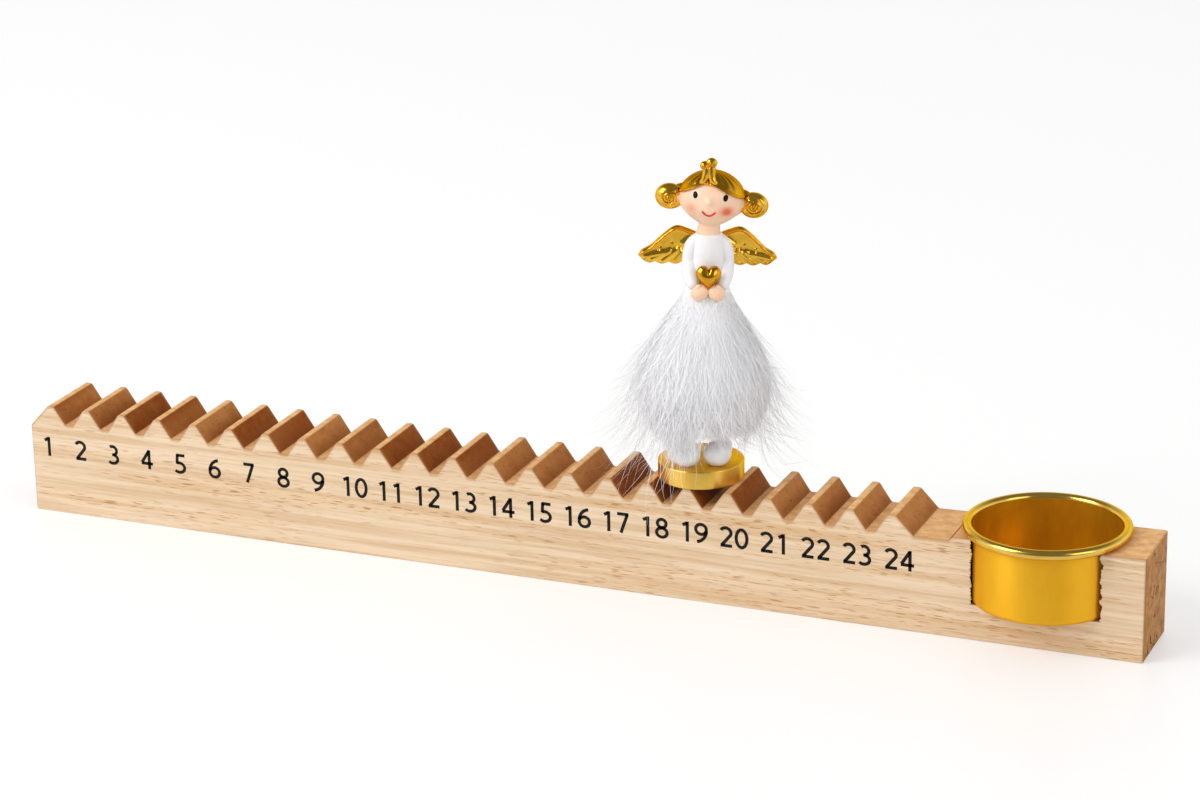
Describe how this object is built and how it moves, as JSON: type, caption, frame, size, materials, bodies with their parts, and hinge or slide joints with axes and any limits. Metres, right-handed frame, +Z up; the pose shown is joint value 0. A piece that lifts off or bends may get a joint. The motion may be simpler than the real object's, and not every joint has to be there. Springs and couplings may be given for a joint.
{
  "type": "advent candle holder",
  "caption": "Notched wooden advent bar with printed day numbers, a brass tealight cup at one end and a loose feather-skirted angel figure that is moved along the teeth day by day.",
  "frame": {"origin": "middle of the bar's underside, on the table", "axes": "+X along the bar from day 1 towards the candle cup, the day numbers face -Y, +Z up"},
  "size_m": [0.34, 0.051, 0.1273],
  "materials": {
    "oak_wood": "satin",
    "gold_cup_metal": "satin",
    "gold_disc_paint": "satin",
    "white_enamel": "gloss",
    "skin_paint": "satin",
    "gold_plating": "gloss",
    "white_feathers": "matte"
  },
  "bodies": {
    "bar": {"notched_bar": "oak_wood"},
    "cup": {"candle_cup": "gold_cup_metal"},
    "figure": {"figure_base": "gold_disc_paint", "left_shoe": "white_enamel", "right_shoe": "white_enamel", "left_leg": "skin_paint", "right_leg": "skin_paint", "lower_body": "white_enamel", "feather_skirt": "white_feathers", "torso": "white_enamel", "left_sleeve": "white_enamel", "right_sleeve": "white_enamel", "left_hand": "skin_paint", "right_hand": "skin_paint", "heart": "gold_plating", "head": "skin_paint", "hair_cap": "gold_plating", "hair_tuft": "gold_plating", "left_bun": "gold_plating", "right_bun": "gold_plating", "left_wing": "gold_plating", "right_wing": "gold_plating"}
  },
  "joints": [
    {"name": "figure_slide", "type": "slide", "parent": "bar", "child": "figure", "axis": [-1, 0, 0], "range_m": [-0.0595, 0.2023], "deforming": ["feather_skirt"]},
    {"name": "cup_lift", "type": "slide", "parent": "bar", "child": "cup", "axis": [0, 0, 1], "range_m": [0, 0.03]}
  ]
}
